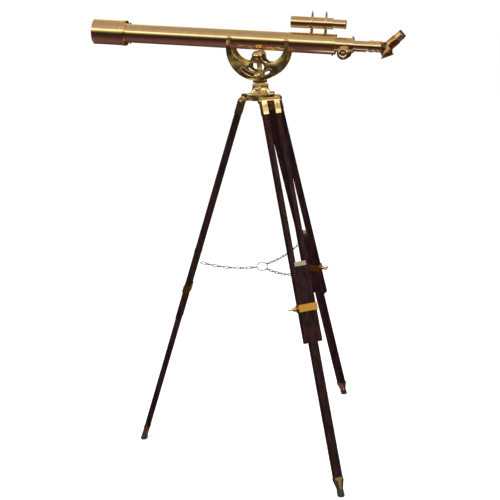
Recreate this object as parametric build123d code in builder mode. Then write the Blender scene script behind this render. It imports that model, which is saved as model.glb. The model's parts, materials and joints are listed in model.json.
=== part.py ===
"""A brass refracting telescope in a half-moon cradle on a wooden tripod, in millimetres.

The frame has +Z up and its origin on the floor under the tripod's axis. The tube runs along X,
with its objective towards -X and raised a little, and its eyepiece towards +X.
"""

import os
from math import atan2, ceil, cos, hypot, pi, radians, sin, sqrt, tan

from build123d import *

os.makedirs("parts", exist_ok=True)

# --- Driving dimensions ---------------------------------------------------------------------
RUN = 0.05  # radial clearance of a running fit
GAP = 0.3  # gap between faces that move past each other

# Tripod
HINGE_Z = 1300.0  # height of the leg hinges
HINGE_R = 67.0  # distance of a leg hinge from the tripod's axis
FOOT_R = 516.0  # distance of a foot from the tripod's axis
LEGS = {"left": 186.5, "front": 306.5, "rear": 66.5}  # the direction each leg points in
RAIL_W, RAIL_T = 17.0, 21.0
RAIL_END = 848.0  # distances down a leg are measured from its hinge
SLIDER_W, SLIDER_T = 30.0, 20.4
SLIDER_TOP = 570.0
CLAMP_AT, CLAMP_H, CLAMP_WALL = 727.0, 26.0, 3.0
FERRULE_L, FERRULE_WALL = 48.0, 1.5
BOLT_R = 4.0
SHOE_L, TIP_L = 42.0, 22.0
EYE_AT = 612.0  # where a spreader chain is hooked to its leg

# Head and column
HEAD_TOP, HEAD_T, HEAD_R = 1322.0, 12.0, 50.0
COLUMN_TOP = 1361.0
SPINDLE_R = 17.0
AXLE_Z, AXLE_R = 1454.0, 6.0

# Cradle
TUBE_OVER_AXLE = 51.0
TILT = 5.0  # degrees that the objective is raised at rest
PLATE_IN, PLATE_T = 35.0, 6.0
CRADLE_R, CRADLE_DROP = 110.0, 26.0  # outer radius, and its centre's depth under the tube
SLOT_R, SLOT_W, SLOT_SWING = 68.0, 9.0, 41.0
CLAMP_BOLT_R = 4.0
SECTOR_T = 1.5  # height of the raised rim round the clamp's slot

# Tube, as distances along it from the point over the altitude axle
TUBE_R, TUBE_WALL = 33.0, 1.5
HOOD_FRONT, TUBE_FRONT, HOOD_REAR = -605.0, -498.0, -485.0
HOOD_R, HOOD_WALL = 44.0, 2.0
LENS_R = 29.9
BAFFLES = {-350.0: 26.0, -200.0: 23.0, -50.0: 20.0}  # distance to opening radius
SLEEVE_FRONT, SLEEVE_REAR, SLEEVE_R = 105.0, 267.0, 35.0
FOCUSER_FRONT, FOCUSER_REAR, FOCUSER_R = 252.0, 329.0, 25.0
DRAW_FRONT, DRAW_R, DRAW_WALL = 225.0, 17.0, 1.8
COLLAR_FRONT, COLLAR_REAR = 380.0, 422.0
NOSE_R = 15.85
BEND_AT = 442.5  # where the eyepiece's axis leaves the tube's axis
FINDER_OVER_TUBE = 68.5
FINDER_FRONT, FINDER_STEP, FINDER_REAR, FINDER_END = 109.0, 168.0, 253.0, 298.0
FINDER_R, FINDER_BODY_R, FINDER_EYE_R = 20.5, 19.5, 15.0
BRACKETS = (181.0, 229.0)
BRACKET_T = 8.0

# Focusing gear
PINION_AT, TEETH, MODULE = 298.0, 12, 1.0
PITCH_R = TEETH * MODULE / 2
TOOTH_PITCH = pi * MODULE
RACK_FRONT, RACK_REAR, RACK_W = 244.0, 372.0, 6.0
PITCH_LINE = DRAW_R + 3.5  # depth of the rack's pitch line under the tube's axis
PINION_DEPTH = PITCH_LINE + PITCH_R
SHAFT_R = 3.0

# Spreader
RING_R, RING_WIRE = 20.5, 1.2
RING_CENTRE = Vector(-20.9, -2.4, 689.0)
LINK_WIRE, LINK_PITCH, LINK_W = 0.9, 10.5, 8.0
CHAIN_SAG = 11.0
RING_HOOKS = {"left": 187.0, "front": -44.0, "rear": 41.0}  # angles round the ring

# --- Frames ---------------------------------------------------------------------------------
along = Vector(cos(radians(TILT)), 0, -sin(radians(TILT)))
up = Vector(sin(radians(TILT)), 0, cos(radians(TILT)))
over_axle = Vector(0, 0, AXLE_Z) + up * TUBE_OVER_AXLE
side = Plane(origin=over_axle, x_dir=along, z_dir=(0, -1, 0))  # x along the tube, y up
tube_axis = Axis(over_axle, along)
finder_side = Plane(origin=over_axle + up * FINDER_OVER_TUBE, x_dir=along, z_dir=(0, -1, 0))
finder_axis = Axis(finder_side.origin, along)
eye_way = along * cos(pi / 4) + up * sin(pi / 4)
eye_side = Plane(origin=over_axle + along * BEND_AT, x_dir=eye_way, z_dir=(0, -1, 0))
eye_axis = Axis(eye_side.origin, eye_way)
upright = Plane(origin=(0, 0, 0), x_dir=(1, 0, 0), z_dir=(0, -1, 0))  # x out, y up
axle_side = Plane(origin=(0, 0, AXLE_Z), x_dir=along, z_dir=(0, -1, 0))

LEG_L = hypot(FOOT_R - HINGE_R, HINGE_Z)
SPLAY = atan2(FOOT_R - HINGE_R, HINGE_Z)
leg_out = Vector(cos(SPLAY), 0, sin(SPLAY))
leg_up = Vector(-sin(SPLAY), 0, cos(SPLAY))
hinge = Vector(HINGE_R, 0, HINGE_Z)
RAIL_Y = SLIDER_W / 2 + GAP + RAIL_W / 2  # a rail's middle, to each side of the leg's middle
LEG_SIDE = RAIL_Y + RAIL_W / 2


def across_tube(distance):
    """The plane across the tube at a distance along it: x towards +Y, y up."""
    return Plane(origin=over_axle + along * distance, x_dir=(0, 1, 0), z_dir=along)


def across_leg(distance):
    """The plane across a leg that points along +X: x outwards, y towards +Y."""
    return Plane(origin=hinge - leg_up * distance, x_dir=leg_out, z_dir=leg_up)


def lengthwise(width):
    """The plane along that leg, at a width to its side: x outwards, y up the leg."""
    return Plane(origin=hinge + Vector(0, width, 0), x_dir=leg_out, z_dir=(0, -1, 0))


def facing_out(y):
    """The plane at a depth y, facing -Y: x along +X, y along +Z."""
    return Plane(origin=(0, y, 0), x_dir=(1, 0, 0), z_dir=(0, -1, 0))


# --- Profiles that several pieces use -------------------------------------------------------
def band(start, end, inner, outer, mode=Mode.ADD):
    """A rectangle in a turned profile: a length along the axis, between two radii."""
    with Locations(((start + end) / 2, (inner + outer) / 2)):
        Rectangle(end - start, outer - inner, mode=mode)


def dome(edge, radius, vertex):
    """An arc of a turned profile: a domed face from its rim to its point on the axis."""
    rise = abs(vertex - edge)
    ball = (radius**2 + rise**2) / (2 * rise)
    share = (rise - ball + sqrt(ball**2 - radius**2 / 4)) / rise
    ThreePointArc((edge, radius), (edge + (vertex - edge) * share, radius / 2), (vertex, 0))


def ball_end(start, neck, radius):
    """An arc of a turned profile: a ball that begins at a narrower neck."""
    middle = start + sqrt(radius**2 - neck**2)
    ThreePointArc((start, neck), (middle, radius), (middle + radius, 0))
    return middle + radius


def outline(*points):
    """A closed polygon as a face of the sketch it is called in."""
    Polygon(*points, align=None)


def write(part, label):
    """Labels a finished piece and writes it as a STEP file."""
    part.label = label
    export_step(part, f"parts/{label}.step")


# --- Tripod head, column and pillar ---------------------------------------------------------
LUG_W = 2 * (RAIL_Y - RAIL_W / 2 - FERRULE_WALL - GAP)
LUG_R = 12.0

with BuildPart() as head_lug:
    with BuildSketch(facing_out(-LUG_W / 2)):
        with Locations((HINGE_R / 2, HEAD_TOP - HEAD_T)):
            Rectangle(HINGE_R, 2 * HEAD_T)
        with Locations((HINGE_R, HINGE_Z)):
            Circle(LUG_R)
            Circle(BOLT_R, mode=Mode.SUBTRACT)
        with Locations((HINGE_R + LUG_R, HEAD_TOP)):
            Rectangle(2 * LUG_R, 2 * (HEAD_TOP - HINGE_Z - LUG_R), mode=Mode.SUBTRACT)
    extrude(amount=-LUG_W)

with BuildPart() as tripod_head:
    with BuildSketch(Plane.XY.offset(HEAD_TOP - HEAD_T)):
        Circle(HEAD_R)
    extrude(amount=HEAD_T)
    fillet(tripod_head.edges().group_by(Axis.Z)[-1], 2.0)
    with BuildSketch(Plane.XY.offset(HEAD_TOP - 2 * HEAD_T)):
        Circle(HEAD_R - 14)
    extrude(amount=HEAD_T)
    with Locations(*[Location((0, 0, 0), (0, 0, azimuth)) for azimuth in LEGS.values()]):
        add(head_lug.part)
write(tripod_head.part, "tripod_head")

BOLT_HEAD_L, BOLT_HEAD_R = 6.0, 8.0
BOLT_SIDE = LEG_SIDE + FERRULE_WALL + GAP
with BuildPart() as hinge_bolt:
    with BuildSketch(Plane(origin=hinge, x_dir=(0, 1, 0), z_dir=(1, 0, 0))):
        band(-BOLT_SIDE, BOLT_SIDE, 0, BOLT_R - RUN)
        band(-BOLT_SIDE - BOLT_HEAD_L, -BOLT_SIDE, 0, BOLT_HEAD_R)
        band(BOLT_SIDE, BOLT_SIDE + BOLT_HEAD_L, 0, BOLT_HEAD_R)
        with Locations((BOLT_SIDE + BOLT_HEAD_L, 0)):
            Circle(BOLT_R + 1)
        band(-BOLT_SIDE * 2, BOLT_SIDE * 2, -2 * BOLT_HEAD_R, 0, mode=Mode.SUBTRACT)
    revolve(axis=Axis(hinge, (0, 1, 0)))
    fillet(hinge_bolt.edges().filter_by(GeomType.CIRCLE).group_by(Axis.Y)[0], 1.5)

with BuildPart() as hinge_bolts:
    with Locations(*[Location((0, 0, 0), (0, 0, azimuth)) for azimuth in LEGS.values()]):
        add(hinge_bolt.part)
write(hinge_bolts.part, "hinge_bolts")

AZIMUTH_CLAMP_Z = 1341.0
KNOB_BALL_R = 9.0
with BuildPart() as column:
    with BuildSketch(upright):
        with BuildLine():
            Polyline((SPINDLE_R + RUN, COLUMN_TOP), (SPINDLE_R + RUN, HEAD_TOP), (36, HEAD_TOP))
            Line((36, HEAD_TOP), (36, HEAD_TOP + 4))
            ThreePointArc((36, HEAD_TOP + 4), (31, HEAD_TOP + 13), (28, HEAD_TOP + 26))
            Polyline((28, HEAD_TOP + 26), (26, HEAD_TOP + 30), (26, COLUMN_TOP - 4))
            Polyline((26, COLUMN_TOP - 4), (24, COLUMN_TOP), (SPINDLE_R + RUN, COLUMN_TOP))
        make_face()
    revolve(axis=Axis.Z)
    with BuildSketch(facing_out(-37)):
        with Locations((0, AZIMUTH_CLAMP_Z)):
            Circle(9)
    extrude(amount=-15)
    with BuildSketch(facing_out(-38)):
        with Locations((0, AZIMUTH_CLAMP_Z)):
            Circle(BOLT_R)
    extrude(amount=-22, mode=Mode.SUBTRACT)
write(column.part, "column")

with BuildPart() as azimuth_clamp_knob:
    with BuildSketch(Plane(origin=(0, 0, AZIMUTH_CLAMP_Z), x_dir=(0, -1, 0), z_dir=(1, 0, 0))):
        with BuildLine():
            Polyline((SPINDLE_R + GAP, 0), (SPINDLE_R + GAP, BOLT_R - RUN), (37.4, BOLT_R - RUN))
            Polyline((37.4, BOLT_R - RUN), (37.4, 7), (40.5, 7), (42, 4.5), (45, 4.5))
            ball_tip = ball_end(45, 4.5, KNOB_BALL_R)
            Line((ball_tip, 0), (SPINDLE_R + GAP, 0))
        make_face()
    revolve(axis=Axis((0, 0, AZIMUTH_CLAMP_Z), (0, -1, 0)))
write(azimuth_clamp_knob.part, "azimuth_clamp_knob")

BOSS_R, ARM_R = 14.0, 9.0
CLAMP_Z = AXLE_Z - SLOT_R
with BuildPart() as pillar:
    with BuildSketch(upright):
        with BuildLine():
            Polyline((0, HEAD_TOP + 3), (SPINDLE_R, HEAD_TOP + 3), (SPINDLE_R, COLUMN_TOP + GAP))
            Polyline((SPINDLE_R, COLUMN_TOP + GAP), (25, COLUMN_TOP + GAP), (25, 1368))
            ThreePointArc((25, 1368), (14, 1374), (9, 1390))
            Polyline((9, 1390), (8, AXLE_Z), (0, AXLE_Z), (0, HEAD_TOP + 3))
        make_face()
    revolve(axis=Axis.Z)
    with BuildSketch(facing_out(-PLATE_IN + GAP)):
        with Locations((0, AXLE_Z)):
            Circle(BOSS_R)
        with Locations((0, CLAMP_Z)):
            Circle(ARM_R)
    extrude(amount=-2 * (PLATE_IN - GAP))
    with BuildSketch(facing_out(-PLATE_IN)):
        with Locations((0, AXLE_Z)):
            Circle(AXLE_R)
        with Locations((0, CLAMP_Z)):
            Circle(CLAMP_BOLT_R + RUN)
    extrude(amount=-2 * PLATE_IN, mode=Mode.SUBTRACT)
write(pillar.part, "pillar")

NUT_Y = PLATE_IN + PLATE_T + GAP
with BuildPart() as altitude_axle:
    with BuildSketch(Plane(origin=(0, 0, AXLE_Z), x_dir=(0, -1, 0), z_dir=(1, 0, 0))):
        with BuildLine():
            Polyline((0, 0), (0, AXLE_R - RUN), (NUT_Y, AXLE_R - RUN), (NUT_Y, 13), (NUT_Y + 3, 13))
            Line((NUT_Y + 3, 13), (NUT_Y + 4, 11))
            dome(NUT_Y + 4, 11, NUT_Y + 14.5)
            Line((NUT_Y + 14.5, 0), (0, 0))
        make_face()
        mirror(about=Plane.YZ)
    revolve(axis=Axis((0, 0, AXLE_Z), (0, -1, 0)))
write(altitude_axle.part, "altitude_axle")

WASHER_Y = NUT_Y + SECTOR_T
with BuildPart() as altitude_clamp_knob:
    with BuildSketch(Plane(origin=(0, 0, CLAMP_Z), x_dir=(0, -1, 0), z_dir=(1, 0, 0))):
        with BuildLine():
            Polyline((-WASHER_Y - 8, 0), (-WASHER_Y - 8, 8), (-WASHER_Y, 8))
            Polyline((-WASHER_Y, 8), (-WASHER_Y, CLAMP_BOLT_R), (WASHER_Y, CLAMP_BOLT_R))
            Polyline((WASHER_Y, CLAMP_BOLT_R), (WASHER_Y, 10), (WASHER_Y + 3, 10))
            Polyline((WASHER_Y + 3, 10), (WASHER_Y + 5, 5), (WASHER_Y + 9, 5))
            ball_tip = ball_end(WASHER_Y + 9, 5, KNOB_BALL_R)
            Line((ball_tip, 0), (-WASHER_Y - 8, 0))
        make_face()
    revolve(axis=Axis((0, 0, CLAMP_Z), (0, -1, 0)))
write(altitude_clamp_knob.part, "altitude_clamp_knob")

# --- Cradle ---------------------------------------------------------------------------------
TIP_HEIGHT, TIP_INNER = 5.0, 94.0
TIP_OUTER = sqrt(CRADLE_R**2 - (TIP_HEIGHT + CRADLE_DROP) ** 2)
TRUNNION_AT = (TIP_OUTER + TIP_INNER) / 2
TRUNNION_R, TRUNNION_HEAD_R, TRUNNION_HEAD_L = 3.0, 8.0, 9.0
WINDOW_R, WINDOW_W, WINDOW_SWING = 40.0, 28.0, 20.0
RIM_W = 18.0


rim_arc = CenterArc((0, 0), SLOT_R, -90 - SLOT_SWING - 3, 2 * SLOT_SWING + 6)
slot_arc = CenterArc((0, 0), SLOT_R, -90 - SLOT_SWING, 2 * SLOT_SWING)
window_arc = CenterArc((0, 0), WINDOW_R, -90 - WINDOW_SWING, 2 * WINDOW_SWING)


def cradle_plate(way):
    """One half-moon plate: way is 1 for the one towards -Y and -1 for the one towards +Y."""
    with BuildPart() as plate:
        with BuildSketch(side.offset(way * PLATE_IN)):
            with BuildLine():
                ThreePointArc(
                    (0, -CRADLE_DROP - CRADLE_R),
                    (CRADLE_R * sin(pi / 4), -CRADLE_DROP - CRADLE_R * cos(pi / 4)),
                    (TIP_OUTER, TIP_HEIGHT),
                )
                ThreePointArc(
                    (TIP_OUTER, TIP_HEIGHT),
                    (TRUNNION_AT, TIP_HEIGHT + (TIP_OUTER - TIP_INNER) / 2),
                    (TIP_INNER, TIP_HEIGHT),
                )
                ThreePointArc((TIP_INNER, TIP_HEIGHT), (83, -48), (42, -73))
                Spline((42, -73), (26, -69), (17, -54), tangents=((-1, -0.1), (-0.3, 1)))
                ThreePointArc((17, -54), (12.5, -38.5), (0, -33))
                Line((0, -33), (0, -CRADLE_DROP - CRADLE_R))
            make_face()
            mirror(about=Plane.YZ)
        extrude(amount=way * PLATE_T)
        with BuildSketch(axle_side.offset(way * PLATE_IN)):
            SlotArc(rim_arc, RIM_W)
        extrude(amount=way * (PLATE_T + SECTOR_T))
        with BuildSketch(axle_side.offset(way * (PLATE_IN - 1))):
            SlotArc(slot_arc, SLOT_W)
            SlotArc(window_arc, WINDOW_W)
            Circle(AXLE_R)
            for end in (-1, 1):
                with Locations((end * TRUNNION_AT, TUBE_OVER_AXLE + TIP_HEIGHT)):
                    Circle(TRUNNION_R)
        extrude(amount=way * (PLATE_T + 4), mode=Mode.SUBTRACT)
    return plate.part


write(cradle_plate(1), "cradle_front_plate")
write(cradle_plate(-1), "cradle_back_plate")

with BuildPart() as trunnion_screws:
    for end in (-1, 1):
        for way in (-1, 1):
            with BuildSketch(side.offset(way * (TUBE_R + RUN))):
                with Locations((end * TRUNNION_AT, TIP_HEIGHT)):
                    Circle(TRUNNION_R)
            extrude(amount=way * (PLATE_IN + PLATE_T + 1 - TUBE_R))
            with BuildSketch(side.offset(way * (PLATE_IN + PLATE_T))):
                with Locations((end * TRUNNION_AT, TIP_HEIGHT)):
                    Circle(TRUNNION_HEAD_R)
            extrude(amount=way * TRUNNION_HEAD_L, taper=12)
write(trunnion_screws.part, "trunnion_screws")

# --- Main tube, hood and objective ----------------------------------------------------------
with BuildPart() as main_tube:
    with BuildSketch(side):
        band(TUBE_FRONT, SLEEVE_FRONT + 45, TUBE_R - TUBE_WALL, TUBE_R)
    revolve(axis=tube_axis)
write(main_tube.part, "main_tube")

with BuildPart() as tail_sleeve:
    with BuildSketch(side):
        band(SLEEVE_FRONT, SLEEVE_REAR, TUBE_R, SLEEVE_R)
        band(SLEEVE_REAR - 5, SLEEVE_REAR, FOCUSER_R, SLEEVE_R)
    revolve(axis=tube_axis)
write(tail_sleeve.part, "tail_sleeve")

HOOD_BACK = 12.0
with BuildPart() as dew_shield:
    with BuildSketch(side):
        band(HOOD_FRONT, HOOD_REAR, HOOD_R - HOOD_WALL, HOOD_R)
        band(HOOD_REAR - HOOD_BACK, HOOD_REAR, TUBE_R, HOOD_R + 1)
        band(HOOD_FRONT, HOOD_FRONT + 3, HOOD_R - HOOD_WALL - 0.6, HOOD_R + 0.6)
    revolve(axis=tube_axis)
    fillet(dew_shield.edges().filter_by(GeomType.CIRCLE).group_by(Axis.X)[0], 0.9)
write(dew_shield.part, "dew_shield")

CELL_FRONT, CELL_R, SEAT_R, SEAT_T = -530.0, 37.0, 27.5, 8.0
CROWN_FRONT, CROWN_REAR, BULGE = -518.0, -514.0, 3.0
with BuildPart() as objective_cell:
    with BuildSketch(side):
        band(CELL_FRONT, TUBE_FRONT, LENS_R + 0.1, CELL_R)
        band(CELL_FRONT + 4, CROWN_FRONT - 1, SEAT_R, LENS_R + 1)
        band(TUBE_FRONT - SEAT_T, TUBE_FRONT, SEAT_R, LENS_R + 1)
        band(TUBE_FRONT, TUBE_FRONT + 18, SEAT_R + 1, TUBE_R - TUBE_WALL)
    revolve(axis=tube_axis)
write(objective_cell.part, "objective_cell")

FLINT_FRONT = CROWN_REAR + GAP
with BuildPart() as objective_lenses:
    with BuildSketch(side):
        with BuildLine():
            Line((CROWN_REAR + BULGE, 0), (CROWN_FRONT - BULGE, 0))
            dome(CROWN_FRONT, LENS_R, CROWN_FRONT - BULGE)
            Line((CROWN_FRONT, LENS_R), (CROWN_REAR, LENS_R))
            dome(CROWN_REAR, LENS_R, CROWN_REAR + BULGE)
        make_face()
    revolve(axis=tube_axis)
    with BuildSketch(side):
        with BuildLine():
            Line((TUBE_FRONT - SEAT_T, 0), (FLINT_FRONT + BULGE, 0))
            dome(FLINT_FRONT, LENS_R, FLINT_FRONT + BULGE)
            Polyline(
                (FLINT_FRONT, LENS_R), (TUBE_FRONT - SEAT_T, LENS_R), (TUBE_FRONT - SEAT_T, 0)
            )
        make_face()
    revolve(axis=tube_axis)
write(objective_lenses.part, "objective_lenses")

with BuildPart() as tube_baffles:
    with BuildSketch(side):
        for distance, opening in BAFFLES.items():
            band(distance, distance + 1.5, opening, TUBE_R - TUBE_WALL)
    revolve(axis=tube_axis)
write(tube_baffles.part, "tube_baffles")

# --- Focuser --------------------------------------------------------------------------------
BOX_HALF, BOX_TOP, BOX_BOTTOM, BOX_SIDE = 14.0, 20.0, PINION_DEPTH + 9.5, 13.0
with BuildPart() as focuser_body:
    with BuildSketch(side):
        band(FOCUSER_FRONT, SLEEVE_REAR - 5, DRAW_R + RUN, TUBE_R - 0.1)
        band(SLEEVE_REAR - 5, FOCUSER_REAR, DRAW_R + RUN, FOCUSER_R)
        band(FOCUSER_REAR - 8, FOCUSER_REAR, DRAW_R + RUN, FOCUSER_R + 1)
    revolve(axis=tube_axis)
    with BuildSketch(side.offset(-BOX_SIDE)):
        with Locations((PINION_AT, -(BOX_TOP + BOX_BOTTOM) / 2)):
            Rectangle(2 * BOX_HALF, BOX_BOTTOM - BOX_TOP)
    extrude(amount=2 * BOX_SIDE)
    with BuildSketch(side.offset(-BOX_SIDE - 1)):
        with Locations((PINION_AT, -PINION_DEPTH)):
            Circle(SHAFT_R + RUN)
    extrude(amount=2 * BOX_SIDE + 2, mode=Mode.SUBTRACT)
    with BuildSketch(side.offset(-RACK_W / 2 - GAP)):
        with Locations((PINION_AT, -PINION_DEPTH)):
            Circle(PITCH_R + MODULE + 0.7)
        band(FOCUSER_FRONT - 1, FOCUSER_REAR + 1, -PITCH_LINE - MODULE - 0.5, -DRAW_R + 2)
    extrude(amount=RACK_W + 2 * GAP, mode=Mode.SUBTRACT)
write(focuser_body.part, "focuser_body")

with BuildPart() as drawtube:
    with BuildSketch(side):
        band(DRAW_FRONT, COLLAR_FRONT + 12, DRAW_R - DRAW_WALL, DRAW_R)
    revolve(axis=tube_axis)
write(drawtube.part, "drawtube")

TOOTH_GAP_MOUTH, TOOTH_GAP_ROOT, TIP_CLEARANCE = 1.15, 0.62, 0.25  # half widths of a tooth gap
ADDENDUM = 0.8 * MODULE
with BuildPart() as focus_rack:
    with BuildSketch(side.offset(-RACK_W / 2)):
        band(RACK_FRONT, RACK_REAR, -PITCH_LINE - ADDENDUM, -DRAW_R + 1)
        first = int((RACK_FRONT + 1 - PINION_AT) / TOOTH_PITCH)
        last = int((RACK_REAR - 1 - PINION_AT) / TOOTH_PITCH)
        for step in range(first, last + 1):
            middle = PINION_AT + step * TOOTH_PITCH
            with BuildLine():
                Polyline(
                    (middle - TOOTH_GAP_MOUTH, -PITCH_LINE - MODULE),
                    (middle - TOOTH_GAP_ROOT, -PITCH_LINE + MODULE + TIP_CLEARANCE),
                    (middle + TOOTH_GAP_ROOT, -PITCH_LINE + MODULE + TIP_CLEARANCE),
                    (middle + TOOTH_GAP_MOUTH, -PITCH_LINE - MODULE),
                    close=True,
                )
            make_face(mode=Mode.SUBTRACT)
    extrude(amount=RACK_W)
    with BuildSketch(side):
        band(RACK_FRONT - 1, RACK_REAR + 1, 0, DRAW_R)
    revolve(axis=tube_axis, mode=Mode.SUBTRACT)
write(focus_rack.part, "focus_rack")

NECK_AT, DISC_AT, BOSS_AT, KNOB_OUT = 15.2, 26.5, 34.0, 44.0
pinion_side = Plane(
    origin=over_axle + along * PINION_AT - up * PINION_DEPTH, x_dir=along, z_dir=(0, -1, 0)
)
with BuildPart() as focus_pinion:
    with BuildSketch(pinion_side.offset(-KNOB_OUT + 3)):
        Circle(SHAFT_R)
    extrude(amount=2 * (KNOB_OUT - 3))
    with BuildSketch(pinion_side.offset(-RACK_W / 2)):
        Circle(PITCH_R - ADDENDUM - TIP_CLEARANCE)
        with PolarLocations(0, TEETH, start_angle=90):
            with BuildLine():
                Polyline(
                    (PITCH_R - MODULE * 2, -0.95),
                    (PITCH_R - 0.6, -0.72),
                    (PITCH_R + MODULE * 0.75, -0.28),
                    (PITCH_R + MODULE * 0.75, 0.28),
                    (PITCH_R - 0.6, 0.72),
                    (PITCH_R - MODULE * 2, 0.95),
                    close=True,
                )
            make_face()
    extrude(amount=RACK_W)
write(focus_pinion.part, "focus_pinion")

with BuildPart() as focus_knobs:
    with BuildSketch(Plane(origin=pinion_side.origin, x_dir=(0, -1, 0), z_dir=along)):
        with BuildLine():
            Polyline((NECK_AT, SHAFT_R), (NECK_AT, 6), (DISC_AT, 6), (DISC_AT, 20.5))
            Polyline((DISC_AT, 20.5), (DISC_AT + 1.5, 22), (BOSS_AT - 1.5, 22), (BOSS_AT, 20.5))
            Polyline((BOSS_AT, 20.5), (BOSS_AT, 16), (KNOB_OUT - 2, 15.5), (KNOB_OUT, 13))
            Polyline((KNOB_OUT, 13), (KNOB_OUT - 2, 10), (KNOB_OUT - 2, 5), (KNOB_OUT, 4))
            Polyline((KNOB_OUT, 4), (KNOB_OUT, 0), (KNOB_OUT - 3, 0), (KNOB_OUT - 3, SHAFT_R))
            Line((KNOB_OUT - 3, SHAFT_R), (NECK_AT, SHAFT_R))
        make_face()
        mirror(about=Plane.YZ)
    revolve(axis=Axis(pinion_side.origin, (0, 1, 0)))
write(focus_knobs.part, "focus_knobs")

# --- Diagonal and eyepiece ------------------------------------------------------------------
with BuildPart() as drawtube_collar:
    with BuildSketch(side):
        band(COLLAR_FRONT, COLLAR_REAR, NOSE_R + RUN, 18.5)
        band(COLLAR_FRONT, COLLAR_FRONT + 4, NOSE_R + RUN, 20)
        band(COLLAR_FRONT + 8, COLLAR_FRONT + 11, NOSE_R + RUN, 22)
        band(COLLAR_FRONT + 27, COLLAR_FRONT + 31, NOSE_R + RUN, 20)
        band(COLLAR_REAR - 4, COLLAR_REAR, NOSE_R + RUN, 20)
        band(COLLAR_FRONT - 1, COLLAR_FRONT + 12, 0, DRAW_R, mode=Mode.SUBTRACT)
    revolve(axis=tube_axis)
write(drawtube_collar.part, "drawtube_collar")

HOUSING_FRONT, HOUSING_HALF, HOUSING_WALL = COLLAR_REAR + 0.4, 15.0, 2.0
HOLDER_R, HOLDER_BORE, HOLDER_END = 17.5, 12.95, 42.0
COVER_SLOPE, COVER_DEPTH = 22.5, 27.5
cover_middle_at = BEND_AT + 2.2


def cover_height(distance):
    """How high the sloping cover's upper face is, against the tube's axis."""
    return (distance - cover_middle_at) * tan(radians(COVER_SLOPE)) - COVER_DEPTH


housing = [
    (HOUSING_FRONT, 16),
    (BEND_AT - 3.5, 16),
    (BEND_AT + 17.6, -5.1),
    (BEND_AT + 18.5, cover_height(BEND_AT + 18.5)),
    (HOUSING_FRONT + 7, cover_height(HOUSING_FRONT + 7)),
    (HOUSING_FRONT, -20),
]
cavity = [
    (HOUSING_FRONT + 2, 14),
    (BEND_AT - 4.3, 14),
    (BEND_AT + 15.6, -5.9),
    (BEND_AT + 16.4, -18),
    (BEND_AT + 16, -26),
    (HOUSING_FRONT + 9, -38),
    (HOUSING_FRONT + 9, -32),
    (HOUSING_FRONT + 2, -18.5),
]
with BuildPart() as diagonal_housing:
    with BuildSketch(side.offset(-HOUSING_HALF)):
        outline(*housing)
    extrude(amount=2 * HOUSING_HALF)
    fillet(diagonal_housing.edges().filter_by(Axis.Y), 1.5)
    with BuildSketch(side.offset(-HOUSING_HALF + HOUSING_WALL)):
        outline(*cavity)
    extrude(amount=2 * (HOUSING_HALF - HOUSING_WALL), mode=Mode.SUBTRACT)
    with BuildSketch(side):
        band(COLLAR_FRONT + 18, HOUSING_FRONT + 1, HOLDER_BORE, NOSE_R)
    revolve(axis=tube_axis)
    with BuildSketch(eye_side):
        band(8, HOLDER_END, HOLDER_BORE, HOLDER_R)
    revolve(axis=eye_axis)
    with BuildSketch(side):
        band(COLLAR_FRONT, HOUSING_FRONT + 3, 0, HOLDER_BORE)
    revolve(axis=tube_axis, mode=Mode.SUBTRACT)
    with BuildSketch(eye_side):
        band(5, HOLDER_END + 1, 0, HOLDER_BORE)
    revolve(axis=eye_axis, mode=Mode.SUBTRACT)
write(diagonal_housing.part, "diagonal_housing")

with BuildPart() as erecting_prism:
    with BuildSketch(side.offset(-HOUSING_HALF + 3)):
        outline(
            (HOUSING_FRONT + 3.5, 12),
            (BEND_AT - 5, 12),
            (BEND_AT + 13, -6),
            (BEND_AT + 13, cover_height(BEND_AT + 13)),
            (HOUSING_FRONT + 10, cover_height(HOUSING_FRONT + 10)),
            (HOUSING_FRONT + 3.5, -17),
        )
    extrude(amount=2 * (HOUSING_HALF - 3))
write(erecting_prism.part, "erecting_prism")

COVER_T, COVER_L, COVER_W = 4.0, 43.0, 35.0
cover_way = along * cos(radians(COVER_SLOPE)) + up * sin(radians(COVER_SLOPE))
cover_down = along * sin(radians(COVER_SLOPE)) - up * cos(radians(COVER_SLOPE))
cover_middle = over_axle + along * cover_middle_at - up * COVER_DEPTH
with BuildPart() as prism_cover:
    with BuildSketch(Plane(origin=cover_middle, x_dir=cover_way, z_dir=cover_down)):
        RectangleRounded(COVER_L, COVER_W, 4)
    extrude(amount=COVER_T)
    fillet(prism_cover.faces().sort_by(Axis(cover_middle, cover_down))[-1].edges(), 0.8)
write(prism_cover.part, "prism_cover")

EYEPIECE_HEAD, EYEPIECE_R, CUP_AT, EYEPIECE_END = 42.4, 16.0, 65.0, 71.0
with BuildPart() as eyepiece_barrel:
    with BuildSketch(eye_side):
        band(17, EYEPIECE_HEAD + 1, 11.5, HOLDER_BORE - RUN)
        band(EYEPIECE_HEAD, CUP_AT, 11.5, EYEPIECE_R)
        band(EYEPIECE_HEAD + 3, EYEPIECE_HEAD + 5, EYEPIECE_R - 1, EYEPIECE_R, Mode.SUBTRACT)
        band(EYEPIECE_HEAD + 12, EYEPIECE_HEAD + 14, EYEPIECE_R - 1, EYEPIECE_R, Mode.SUBTRACT)
        band(CUP_AT - 1.5, CUP_AT, EYEPIECE_R - 1, EYEPIECE_R, Mode.SUBTRACT)
    revolve(axis=eye_axis)
write(eyepiece_barrel.part, "eyepiece_barrel")

with BuildPart() as eyecup:
    with BuildSketch(eye_side):
        band(CUP_AT, EYEPIECE_END, 8, EYEPIECE_R - 1)
        band(CUP_AT + 3, EYEPIECE_END, 8, 10, mode=Mode.SUBTRACT)
    revolve(axis=eye_axis)
    fillet(eyecup.edges().filter_by(GeomType.CIRCLE).group_by(Axis.Z)[-1], 0.8)
write(eyecup.part, "eyecup")

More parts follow.
